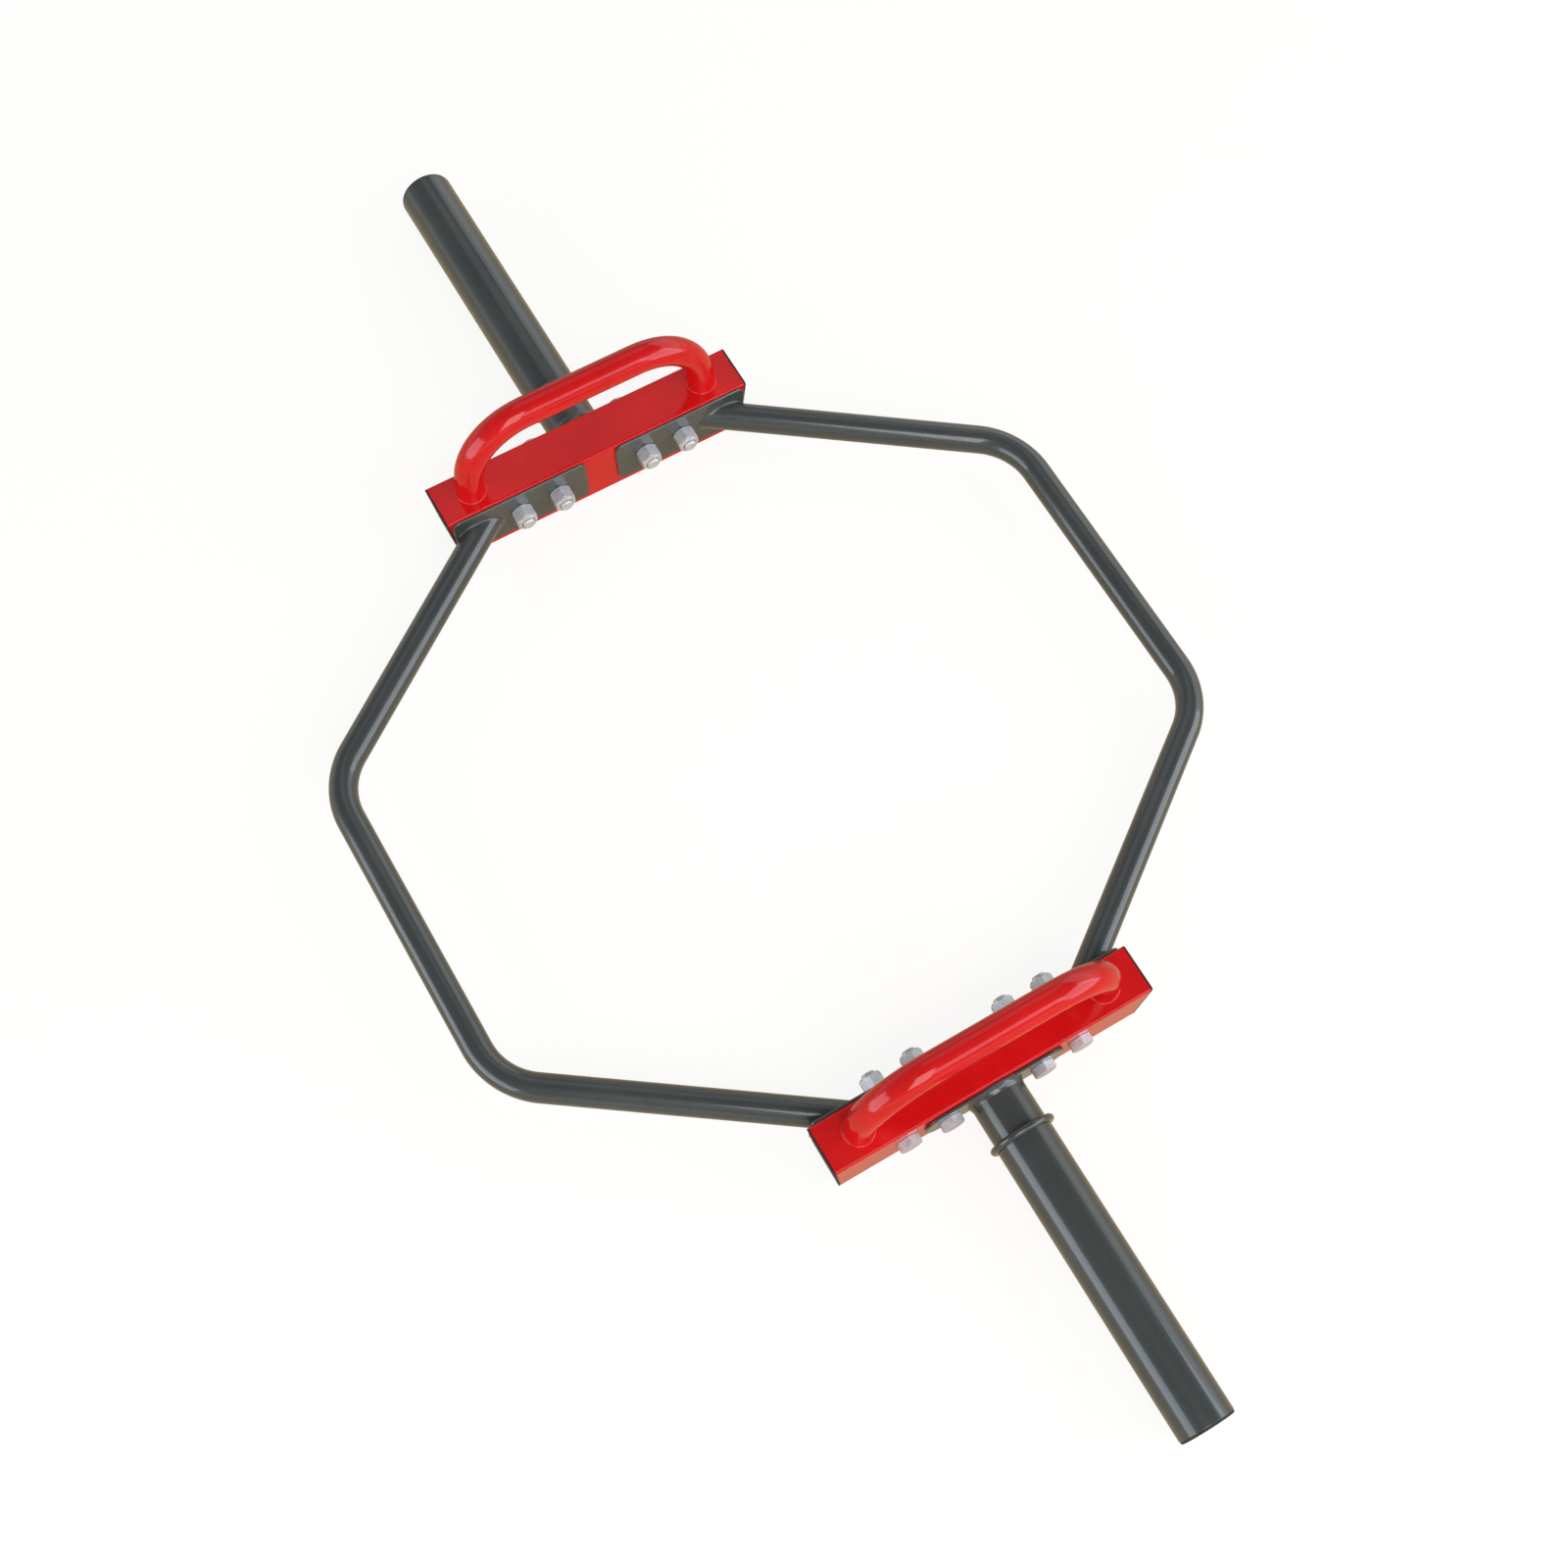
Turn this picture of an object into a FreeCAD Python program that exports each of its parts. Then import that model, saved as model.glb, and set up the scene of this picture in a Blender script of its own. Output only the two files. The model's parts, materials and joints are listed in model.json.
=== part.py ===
# Trap bar: two box beams with raised handles, joined by a ring of two bent tubes,
# with a loading sleeve bolted to the outside of each beam.
# Frame: X runs along the sleeves, Y across the ring, Z up from the floor under the beams.
import FreeCAD, Part
import math
import os
import Sketcher

# Driving dimensions in millimetres
DIMENSIONS = {
    # Box beams, measured along their top edge
    "beam_gap": 626.0,
    "beam_width": 44.0,
    "beam_height": 60.0,
    "beam_length": 304.5,
    "beam_wall": 3.0,
    "beam_corner": 2.5,
    "end_rake": 6.5,
    "end_cap_thickness": 1.5,
    # Heights above the middle of the beams: bolts and ring tubes, then sleeves
    "frame_rise": 4.0,
    "sleeve_rise": 1.0,
    # Ring tubes: middle lines of the outer run and of the slanting runs
    "tube_diameter": 25.4,
    "tube_wall": 2.6,
    "ring_reach": 346.0,
    "ring_corner": 150.0,
    "ring_foot": 122.5,
    "ring_bend": 68.0,
    # Plates at the ends of the ring tubes, level with the bolts
    "plate_thickness": 2.5,
    "plate_height": 50.0,
    "plate_start": 15.5,
    "plate_length": 132.5,
    "plate_corner": 7.0,
    # Bolts and lock nuts
    "bolt_diameter": 12.0,
    "bolt_offset": 44.5,
    "bolt_pitch": 38.5,
    "bolt_clearance": 0.5,
    "bolt_past_nut": 2.5,
    "bolt_tip": 1.0,
    "hex_flats": 19.0,
    "hex_face_inset": 0.3,
    "head_height": 8.0,
    "nut_hex_height": 11.5,
    "nut_collar_height": 2.5,
    "nut_collar_diameter": 18.2,
    "nut_collar_rounding": 1.2,
    "thread_clearance": 0.1,
    "insert_diameter": 14.0,
    "insert_height": 2.4,
    # Loading sleeves: a neck up to the stop ring, then the part that takes the weights
    "sleeve_diameter": 50.0,
    "neck_diameter": 48.6,
    "sleeve_wall": 5.0,
    "sleeve_length": 306.0,
    "sleeve_cap_rim": 2.0,
    "sleeve_cap_inset": 0.5,
    "sleeve_cap_depth": 15.0,
    "sleeve_cap_clearance": 0.2,
    "flange_thickness": 3.0,
    "flange_length": 132.0,
    "flange_height": 40.0,
    "flange_corner": 16.0,
    "flange_disc": 56.0,
    "stop_ring_wire": 6.0,
    "stop_ring_place": 41.0,
    "stop_ring_seat": 0.4,
    # Handles
    "handle_diameter": 26.0,
    "handle_wall": 3.0,
    "grip_rise": 76.0,
    "leg_spacing": 234.0,
    "leg_lean": 5.0,
    "handle_bend": 62.0,
    # Weld beads: leg on the flat face, length along the sleeve and thickness left at the top
    "tube_weld": 2.0,
    "sleeve_weld": 2.8,
    "sleeve_weld_length": 5.0,
    "handle_weld": 2.5,
    "weld_toe": 0.6,
}

# Positions worked out from the driving dimensions
FRAME_HEIGHT = "(dims.beam_height / 2 + dims.frame_rise)"
SLEEVE_HEIGHT = "(dims.beam_height / 2 + dims.sleeve_rise)"
INNER_FACE = "(dims.beam_gap / 2)"
BEAM_MIDDLE = f"({INNER_FACE} + dims.beam_width / 2)"
OUTER_FACE = f"({INNER_FACE} + dims.beam_width)"
PLATE_FACE = f"({INNER_FACE} - dims.plate_thickness)"
FLANGE_FACE = f"({OUTER_FACE} + dims.flange_thickness)"
NECK_LENGTH = "(dims.stop_ring_place + dims.stop_ring_wire / 2)"
NECK_END = f"({FLANGE_FACE} + {NECK_LENGTH})"
SLEEVE_END = f"({FLANGE_FACE} + dims.sleeve_length)"
GRIP_LEVEL = "(dims.beam_height + dims.grip_rise)"
LEG_FOOT = "(dims.leg_spacing / 2)"
OUTER_BOLT = "(dims.bolt_offset + dims.bolt_pitch)"
NUT_HEIGHT = "(dims.nut_hex_height + dims.nut_collar_height)"
NUT_END = f"({PLATE_FACE} - {NUT_HEIGHT})"
HOLE_DIAMETER = "(dims.bolt_diameter + 2 * dims.bolt_clearance)"
THREAD_RADIUS = "(dims.bolt_diameter / 2 + dims.thread_clearance)"

# Slope of a ring tube's slanting run and of a handle's leg
RUN_X = f"({PLATE_FACE} - dims.ring_corner)"
RUN_Y = "(dims.ring_reach - dims.ring_foot)"
RUN_SLOPE = f"({RUN_Y} / {RUN_X})"
LEG_SLOPE = "(dims.leg_lean / dims.grip_rise)"

SIDES = (("right", 1), ("left", -1))
ENDS = (("front", 1), ("rear", -1))
AXIS = {"X": FreeCAD.Vector(1, 0, 0), "Y": FreeCAD.Vector(0, 1, 0), "Z": FreeCAD.Vector(0, 0, 1)}
QUARTER_TURN = 90
HALF_TURN = 180
THIRD_TURN = 120
HEX_SIDES = 6
CHAMFER_RUN = math.sqrt(3)

doc = FreeCAD.newDocument("trap_bar")
sheet = doc.addObject("Spreadsheet::Sheet", "dims")
for row, (alias, size) in enumerate(DIMENSIONS.items(), start=1):
    sheet.set(f"A{row}", alias)
    sheet.set(f"B{row}", str(size))
    sheet.setAlias(f"B{row}", alias)
doc.recompute()

nodes = []


# Helpers: expressions, placement and naming
def value(expression):
    return float(sheet.evalExpression(expression))


def bind(item, sizes):
    for name, expression in sizes.items():
        item.setExpression(name, expression)


def place(item, x="0", y="0", z="0", rotation=FreeCAD.Rotation()):
    item.Placement = FreeCAD.Placement(FreeCAD.Vector(), rotation)
    bind(item, {"Placement.Base.x": x, "Placement.Base.y": y, "Placement.Base.z": z})


def node(item, label):
    item.Label = label
    nodes.append(item)


# Helpers: sketches and features of a body
def origin_plane(body, role):
    return next(feature for feature in body.Origin.OriginFeatures if feature.Role == role)


def new_sketch(body, name, role):
    sketch = body.newObject("Sketcher::SketchObject", f"{body.Name}_{name}")
    sketch.AttachmentSupport = [(origin_plane(body, role), "")]
    sketch.MapMode = "FlatFace"
    return sketch


def dimension(sketch, kind, places, expression):
    index = sketch.addConstraint(Sketcher.Constraint(kind, *places, value(expression)))
    sketch.setExpression(f"Constraints[{index}]", expression)


def pin_point(sketch, geometry, vertex, across, up):
    dimension(sketch, "DistanceX", (-1, 1, geometry, vertex), across)
    dimension(sketch, "DistanceY", (-1, 1, geometry, vertex), up)


def draw_polygon(sketch, corners):
    points = [FreeCAD.Vector(value(across), value(up), 0) for across, up in corners]
    count = len(points)
    for index in range(count):
        sketch.addGeometry(Part.LineSegment(points[index], points[(index + 1) % count]))
    for index in range(count):
        sketch.addConstraint(Sketcher.Constraint("Coincident", index, 2, (index + 1) % count, 1))
    for index, (across, up) in enumerate(corners):
        pin_point(sketch, index, 1, across, up)


def draw_rectangle(sketch, low, high):
    (left, bottom), (right, top) = low, high
    draw_polygon(sketch, [(left, bottom), (right, bottom), (right, top), (left, top)])


def draw_circle(sketch, across, up, diameter):
    centre = FreeCAD.Vector(value(across), value(up), 0)
    circle = sketch.addGeometry(Part.Circle(centre, AXIS["Z"], value(diameter) / 2))
    pin_point(sketch, circle, 3, across, up)
    dimension(sketch, "Diameter", (circle,), diameter)


def add_feature(body, kind, name, **settings):
    feature = body.newObject(f"PartDesign::{kind}", f"{body.Name}_{name}")
    for setting, choice in settings.items():
        setattr(feature, setting, choice)
    return feature


def add_pad(body, sketch, length):
    pad = add_feature(body, "Pad", "pad", Profile=sketch, SideType="Symmetric")
    pad.setExpression("Length", length)
    return pad


def add_cut(body, sketch, name):
    return add_feature(body, "Pocket", name, Profile=sketch, Type="ThroughAll", SideType="Symmetric")


def add_rounding(body, base, direction, radius):
    doc.recompute()
    edges = []
    for index, edge in enumerate(base.Shape.Edges, start=1):
        if abs(edge.tangentAt(edge.FirstParameter).dot(direction)) > 0.999:
            edges.append(f"Edge{index}")
    rounding = add_feature(body, "Fillet", "rounding", Base=(base, edges))
    rounding.setExpression("Radius", radius)


def drill_holes(body, centres):
    sketch = new_sketch(body, "hole_centres", "YZ_Plane")
    for across in centres:
        draw_circle(sketch, across, FRAME_HEIGHT, HOLE_DIAMETER)
    add_cut(body, sketch, "holes")


# Helpers: primitives that point along X, for bolts and for sleeves, and combinations of them
def axial(kind, name, direction, x, y="0", z=FRAME_HEIGHT, **sizes):
    item = doc.addObject(f"Part::{kind}", name)
    bind(item, sizes)
    place(item, x, y, z, FreeCAD.Rotation(AXIS["Y"], QUARTER_TURN * direction))
    return item


def on_sleeve(kind, name, direction, x, **sizes):
    return axial(kind, name, direction, x, z=SLEEVE_HEIGHT, **sizes)


def boolean(kind, name, base, tool):
    item = doc.addObject(f"Part::{kind}", name)
    item.Base = base
    item.Tool = tool
    return item


def join(name, shapes):
    item = doc.addObject("Part::MultiFuse", name)
    item.Shapes = shapes
    return item


def group(name, members):
    item = doc.addObject("Part::Compound", name)
    item.Links = members
    return item


# Box beams: raked at both ends, hollow, drilled for the bolts
def make_beam(side, sign):
    body = doc.addObject("PartDesign::Body", f"{side}_beam")
    top = "(dims.beam_length / 2 - dims.end_cap_thickness)"
    bottom = f"({top} - dims.end_rake)"
    outline = new_sketch(body, "outline", "YZ_Plane")
    draw_polygon(outline, [
        (f"-{bottom}", "0"),
        (bottom, "0"),
        (top, "dims.beam_height"),
        (f"-{top}", "dims.beam_height"),
    ])
    pad = add_pad(body, outline, "dims.beam_width")
    add_rounding(body, pad, AXIS["Y"], "dims.beam_corner")
    bore = new_sketch(body, "bore_outline", "XZ_Plane")
    half_bore = "(dims.beam_width / 2 - dims.beam_wall)"
    bore_top = "dims.beam_height - dims.beam_wall"
    draw_rectangle(bore, (f"-{half_bore}", "dims.beam_wall"), (half_bore, bore_top))
    add_cut(body, bore, "bore")
    drill_holes(body, [f"-{OUTER_BOLT}", "-dims.bolt_offset", "dims.bolt_offset", OUTER_BOLT])
    place(body, f"{sign} * {BEAM_MIDDLE}")
    node(body, f"{side}_beam")


# Thin covers on the raked ends of the beams
def make_beam_cap(side, sign, end, facing):
    body = doc.addObject("PartDesign::Body", f"{side}_beam_{end}_cap")
    outer_top = "dims.beam_length / 2"
    inner_top = f"{outer_top} - dims.end_cap_thickness"
    outline = new_sketch(body, "outline", "YZ_Plane")
    draw_polygon(outline, [
        (f"{facing} * ({inner_top} - dims.end_rake)", "0"),
        (f"{facing} * ({outer_top} - dims.end_rake)", "0"),
        (f"{facing} * ({outer_top})", "dims.beam_height"),
        (f"{facing} * ({inner_top})", "dims.beam_height"),
    ])
    pad = add_pad(body, outline, "dims.beam_width")
    add_rounding(body, pad, AXIS["Y"], "dims.beam_corner")
    place(body, f"{sign} * {BEAM_MIDDLE}")
    node(body, f"{side}_beam_{end}_cap")


# Flat plates that the ring tubes end on, bolted to the inner faces of the beams
def make_plate(side, sign, end, facing):
    body = doc.addObject("PartDesign::Body", f"{side}_{end}_plate")
    outline = new_sketch(body, "outline", "YZ_Plane")
    low = f"{FRAME_HEIGHT} - dims.plate_height / 2"
    high = f"{FRAME_HEIGHT} + dims.plate_height / 2"
    start = f"{facing} * dims.plate_start"
    finish = f"{facing} * (dims.plate_start + dims.plate_length)"
    draw_rectangle(outline, (start, low), (finish, high))
    pad = add_pad(body, outline, "dims.plate_thickness")
    add_rounding(body, pad, AXIS["X"], "dims.plate_corner")
    drill_holes(body, [f"{facing} * dims.bolt_offset", f"{facing} * {OUTER_BOLT}"])
    place(body, f"{sign} * ({INNER_FACE} - dims.plate_thickness / 2)")
    node(body, f"{side}_{end}_plate")


# Half of a bent tube's middle line: a level run, a bend and a slanting run past its foot
def draw_bend(sketch, level, corner, foot, bend, overrun):
    foot_across, foot_up = foot
    corner_point = FreeCAD.Vector(value(corner), value(level), 0)
    foot_point = FreeCAD.Vector(value(foot_across), value(foot_up), 0)
    slant = (foot_point - corner_point).normalize()
    turn = slant.getAngle(AXIS["X"])
    radius = value(bend)
    tangent = radius * math.tan(turn / 2)
    bend_start = corner_point - AXIS["X"] * tangent
    circle = Part.Circle(bend_start - AXIS["Y"] * radius, AXIS["Z"], radius)
    level_run = sketch.addGeometry(Part.LineSegment(FreeCAD.Vector(0, value(level), 0), bend_start))
    arc = sketch.addGeometry(Part.ArcOfCircle(circle, math.pi / 2 - turn, math.pi / 2))
    run_end = foot_point + slant * value(overrun)
    slant_run = sketch.addGeometry(Part.LineSegment(corner_point + slant * tangent, run_end))
    corner_mark = sketch.addGeometry(Part.Point(corner_point), True)
    foot_mark = sketch.addGeometry(Part.Point(foot_point), True)
    sketch.addConstraint([
        Sketcher.Constraint("PointOnObject", level_run, 1, -2),
        Sketcher.Constraint("Horizontal", level_run),
        Sketcher.Constraint("Tangent", level_run, 2, arc, 2),
        Sketcher.Constraint("Tangent", arc, 1, slant_run, 1),
        Sketcher.Constraint("PointOnObject", corner_mark, 1, slant_run),
        Sketcher.Constraint("PointOnObject", foot_mark, 1, slant_run),
    ])
    dimension(sketch, "DistanceY", (-1, 1, level_run, 1), level)
    dimension(sketch, "Radius", (arc,), bend)
    pin_point(sketch, corner_mark, 1, corner, level)
    pin_point(sketch, foot_mark, 1, foot_across, foot_up)
    dimension(sketch, "Distance", (foot_mark, 1, slant_run, 2), overrun)


# Hollow tube along such a line, cut off flat by a box and mirrored to its other half
def sweep_tube(body, path, section, cut_box, mirror):
    pipe = add_feature(body, "AdditivePipe", "pipe", Profile=section, Spine=(path, []))
    cut = add_cut(body, cut_box, "foot_cut")
    other_half = add_feature(body, "Mirrored", "other_half", Originals=[pipe, cut])
    other_half.MirrorPlane = (origin_plane(body, mirror), [""])
    body.Tip = other_half


def make_ring_tube(end, turn):
    body = doc.addObject("PartDesign::Body", f"{end}_ring_tube")
    path = new_sketch(body, "path", "XY_Plane")
    overrun = "2 * dims.tube_diameter"
    foot = (PLATE_FACE, "dims.ring_foot")
    draw_bend(path, "dims.ring_reach", "dims.ring_corner", foot, "dims.ring_bend", overrun)
    section = new_sketch(body, "section", "YZ_Plane")
    draw_circle(section, "dims.ring_reach", "0", "dims.tube_diameter")
    draw_circle(section, "dims.ring_reach", "0", "dims.tube_diameter - 2 * dims.tube_wall")
    cut_box = new_sketch(body, "foot_box", "XY_Plane")
    margin = "4 * dims.tube_diameter"
    draw_rectangle(
        cut_box,
        (PLATE_FACE, f"dims.ring_foot - {margin}"),
        (f"{PLATE_FACE} + {margin}", f"dims.ring_foot + {margin}"),
    )
    sweep_tube(body, path, section, cut_box, "YZ_Plane")
    place(body, z=FRAME_HEIGHT, rotation=FreeCAD.Rotation(AXIS["Z"], turn))
    node(body, f"{end}_ring_tube")


def make_handle(side, sign):
    body = doc.addObject("PartDesign::Body", f"{side}_handle")
    path = new_sketch(body, "path", "YZ_Plane")
    corner = f"({LEG_FOOT} - dims.leg_lean)"
    foot = (LEG_FOOT, "dims.beam_height")
    draw_bend(path, GRIP_LEVEL, corner, foot, "dims.handle_bend", "dims.handle_diameter")
    section = new_sketch(body, "section", "XZ_Plane")
    draw_circle(section, "0", GRIP_LEVEL, "dims.handle_diameter")
    draw_circle(section, "0", GRIP_LEVEL, "dims.handle_diameter - 2 * dims.handle_wall")
    cut_box = new_sketch(body, "foot_box", "YZ_Plane")
    depth = "2 * dims.handle_diameter"
    draw_rectangle(cut_box, ("0", f"dims.beam_height - {depth}"), ("dims.leg_spacing", "dims.beam_height"))
    sweep_tube(body, path, section, cut_box, "XZ_Plane")
    place(body, f"{sign} * {BEAM_MIDDLE}")
    node(body, f"{side}_handle")


# Weld bead round a tube that meets a flat face at a slant along Y
def make_bead(name, foot, normal, lean, radius, slope, weld, rotation):
    def ellipse(mark, height, margin):
        item = doc.addObject("Part::Ellipse", f"{name}_{mark}")
        bind(item, {
            "MajorRadius": f"{radius} * sqrt(1 + {slope} ^ 2) + {margin}",
            "MinorRadius": f"{radius} + {margin}",
        })
        x, y, z = foot
        normal_x, normal_z = normal
        place(
            item,
            f"{x} + {normal_x} * ({height})",
            f"{y} + {lean} * {slope} * ({height})",
            f"{z} + {normal_z} * ({height})",
            rotation,
        )
        return item

    def loft(mark, bottom, top):
        item = doc.addObject("Part::Loft", f"{name}_{mark}")
        item.Sections = [bottom, top]
        item.Solid = True
        item.Ruled = True
        return item

    outside = loft("outside", ellipse("base", "0", weld), ellipse("top", weld, "dims.weld_toe"))
    core = loft("core", ellipse("core_base", f"-{weld}", "0"), ellipse("core_top", f"2 * {weld}", "0"))
    return boolean("Cut", f"{name}_bead", outside, core)


def make_ring_welds(end, facing):
    across = FreeCAD.Rotation(FreeCAD.Vector(1, 1, 1), THIRD_TURN)
    beads = []
    for side, sign in SIDES:
        foot = (f"{sign} * {PLATE_FACE}", f"{facing} * dims.ring_foot", FRAME_HEIGHT)
        beads.append(make_bead(f"{side}_{end}_foot", foot, (-sign, 0), facing, "dims.tube_diameter / 2",
                               RUN_SLOPE, "dims.tube_weld", across))
    node(group(f"{end}_ring_welds", beads), f"{end}_ring_welds")


def make_handle_welds(side, sign):
    upright = FreeCAD.Rotation(AXIS["Z"], QUARTER_TURN)
    beads = []
    for end, facing in ENDS:
        foot = (f"{sign} * {BEAM_MIDDLE}", f"{facing} * {LEG_FOOT}", "dims.beam_height")
        beads.append(make_bead(f"{side}_{end}_leg", foot, (0, 1), -facing, "dims.handle_diameter / 2",
                               LEG_SLOPE, "dims.handle_weld", upright))
    node(group(f"{side}_handle_welds", beads), f"{side}_handle_welds")


# Flange of a loading sleeve: a bar under two bolts, widened to a disc round the sleeve's foot
def make_flange(side, sign):
    body = doc.addObject("PartDesign::Body", f"{side}_sleeve_flange")
    outline = new_sketch(body, "outline", "YZ_Plane")
    low = f"{FRAME_HEIGHT} - dims.flange_height / 2"
    high = f"{FRAME_HEIGHT} + dims.flange_height / 2"
    draw_rectangle(outline, ("-dims.flange_length / 2", low), ("dims.flange_length / 2", high))
    pad = add_pad(body, outline, "dims.flange_thickness")
    add_rounding(body, pad, AXIS["X"], "dims.flange_corner")
    disc = new_sketch(body, "disc", "YZ_Plane")
    draw_circle(disc, "0", SLEEVE_HEIGHT, "dims.flange_disc")
    add_pad(body, disc, "dims.flange_thickness")
    drill_holes(body, ["-dims.bolt_offset", "dims.bolt_offset"])
    place(body, f"{sign} * ({OUTER_FACE} + dims.flange_thickness / 2)")
    node(body, f"{side}_sleeve_flange")


# Loading sleeve: tube, weld bead, stop ring and end plug
def make_sleeve(side, sign):
    foot = f"{sign} * {FLANGE_FACE}"
    radius = "dims.sleeve_diameter / 2"
    neck_radius = "dims.neck_diameter / 2"
    bore_radius = f"({radius} - dims.sleeve_wall)"

    neck = on_sleeve("Cylinder", f"{side}_neck", sign, foot, Radius=neck_radius, Height=NECK_LENGTH)
    barrel = on_sleeve("Cylinder", f"{side}_barrel", sign, f"{sign} * {NECK_END}", Radius=radius,
                       Height=f"dims.sleeve_length - {NECK_LENGTH}")
    bore = on_sleeve("Cylinder", f"{side}_sleeve_bore", sign, foot, Radius=bore_radius,
                     Height="dims.sleeve_length")
    outside = join(f"{side}_sleeve_outside", [neck, barrel])
    node(boolean("Cut", f"{side}_sleeve", outside, bore), f"{side}_sleeve")

    bead = on_sleeve("Cone", f"{side}_sleeve_bead", sign, foot, Radius1=f"{neck_radius} + dims.sleeve_weld",
                     Radius2=f"{neck_radius} + dims.weld_toe", Height="dims.sleeve_weld_length")
    node(boolean("Cut", f"{side}_sleeve_weld", bead, neck), f"{side}_sleeve_weld")

    stop_place = f"{sign} * ({FLANGE_FACE} + dims.stop_ring_place)"
    wire_radius = "dims.stop_ring_wire / 2"
    wire = on_sleeve("Torus", f"{side}_stop_wire", sign, stop_place, Radius2=wire_radius,
                     Radius1=f"{neck_radius} + {wire_radius} - dims.stop_ring_seat")
    node(boolean("Cut", f"{side}_stop_ring", wire, neck), f"{side}_stop_ring")

    end = f"{sign} * {SLEEVE_END}"
    rim = on_sleeve("Cylinder", f"{side}_cap_rim", sign, end, Radius=f"{radius} - dims.sleeve_cap_inset",
                    Height="dims.sleeve_cap_rim")
    plug = on_sleeve("Cylinder", f"{side}_cap_plug", -sign, end, Height="dims.sleeve_cap_depth",
                     Radius=f"{bore_radius} - dims.sleeve_cap_clearance")
    node(join(f"{side}_sleeve_cap", [rim, plug]), f"{side}_sleeve_cap")


# Hexagon with its outer corners turned off
def make_hexagon(name, direction, x, y, height):
    face_radius = "(dims.hex_flats / 2 - dims.hex_face_inset)"
    prism = axial("Prism", f"{name}_prism", direction, x, y, Height=height,
                  Circumradius=f"dims.hex_flats / {CHAMFER_RUN}")
    prism.Polygon = HEX_SIDES
    turning = axial("Cone", f"{name}_turning", direction, x, y, Height=height, Radius2=face_radius,
                    Radius1=f"{face_radius} + {height} * {CHAMFER_RUN}")
    return boolean("Common", f"{name}_hexagon", prism, turning)


# Bolt with its head outside the beam and its tip past the nut
def make_bolt(name, sign, seat, y):
    seat_x = f"{sign} * {seat}"
    head = make_hexagon(name, sign, seat_x, y, "dims.head_height")
    radius = "dims.bolt_diameter / 2"
    length = f"({seat} - {NUT_END} + dims.bolt_past_nut - dims.bolt_tip)"
    shank = axial("Cylinder", f"{name}_shank", -sign, seat_x, y, Radius=radius, Height=length)
    tip = axial("Cone", f"{name}_tip", -sign, f"{sign} * ({seat} - {length})", y, Radius1=radius,
                Radius2=f"{radius} - dims.bolt_tip", Height="dims.bolt_tip")
    return join(name, [head, shank, tip])


# Lock nut on an inner plate, with a pocket in its collar for the locking ring
def make_nut(name, sign, y):
    face = f"{sign} * {PLATE_FACE}"
    collar_foot = f"{sign} * ({PLATE_FACE} - dims.nut_hex_height)"
    hexagon = make_hexagon(name, -sign, face, y, "dims.nut_hex_height")
    collar_radius = "dims.nut_collar_diameter / 2"
    straight = "(dims.nut_collar_height - dims.nut_collar_rounding)"
    collar = axial("Cylinder", f"{name}_collar", -sign, collar_foot, y, Radius=collar_radius,
                   Height=straight)
    shoulder_foot = f"{sign} * ({NUT_END} + dims.nut_collar_rounding)"
    shoulder = axial("Cone", f"{name}_shoulder", -sign, shoulder_foot, y, Radius1=collar_radius,
                     Radius2=f"{collar_radius} - dims.nut_collar_rounding / 2",
                     Height="dims.nut_collar_rounding")
    thread = axial("Cylinder", f"{name}_thread", -sign, face, y, Radius=THREAD_RADIUS, Height=NUT_HEIGHT)
    pocket = axial("Cylinder", f"{name}_pocket", sign, f"{sign} * {NUT_END}", y,
                   Radius="dims.insert_diameter / 2", Height="dims.insert_height")
    solid = join(f"{name}_solid", [hexagon, collar, shoulder])
    return boolean("Cut", name, solid, join(f"{name}_hollow", [thread, pocket]))


def make_insert(name, sign, y):
    end = f"{sign} * {NUT_END}"
    ring = axial("Cylinder", f"{name}_ring", sign, end, y, Radius="dims.insert_diameter / 2",
                 Height="dims.insert_height")
    bore = axial("Cylinder", f"{name}_bore", sign, end, y, Radius=THREAD_RADIUS, Height="dims.insert_height")
    return boolean("Cut", name, ring, bore)


def make_fasteners(side, sign):
    flange_bolts = []
    plate_bolts = []
    nuts = []
    inserts = []
    for end, facing in ENDS:
        inner = f"{facing} * dims.bolt_offset"
        outer = f"{facing} * {OUTER_BOLT}"
        flange_bolts.append(make_bolt(f"{side}_{end}_flange_bolt", sign, FLANGE_FACE, inner))
        plate_bolts.append(make_bolt(f"{side}_{end}_plate_bolt", sign, OUTER_FACE, outer))
        for mark, y in (("inner", inner), ("outer", outer)):
            nuts.append(make_nut(f"{side}_{end}_{mark}_nut", sign, y))
            inserts.append(make_insert(f"{side}_{end}_{mark}_insert", sign, y))
    node(group(f"{side}_flange_bolts", flange_bolts), f"{side}_flange_bolts")
    node(group(f"{side}_plate_bolts", plate_bolts), f"{side}_plate_bolts")
    node(group(f"{side}_lock_nuts", nuts), f"{side}_lock_nuts")
    node(group(f"{side}_nut_inserts", inserts), f"{side}_nut_inserts")


for side, sign in SIDES:
    make_beam(side, sign)
    make_handle(side, sign)
    make_handle_welds(side, sign)
    make_flange(side, sign)
    make_sleeve(side, sign)
    make_fasteners(side, sign)
    for end, facing in ENDS:
        make_beam_cap(side, sign, end, facing)
        make_plate(side, sign, end, facing)
make_ring_tube("front", 0)
make_ring_tube("rear", HALF_TURN)
for end, facing in ENDS:
    make_ring_welds(end, facing)

doc.recompute()

# Every object has to be sound before anything is written
for item in doc.Objects:
    if "Invalid" in item.State or "Error" in item.State:
        raise RuntimeError(f"{item.Label} failed to recompute: {item.State}")
for item in nodes:
    if item.Shape.isNull() or not item.Shape.isValid():
        raise RuntimeError(f"{item.Label} has no valid shape")

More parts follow.
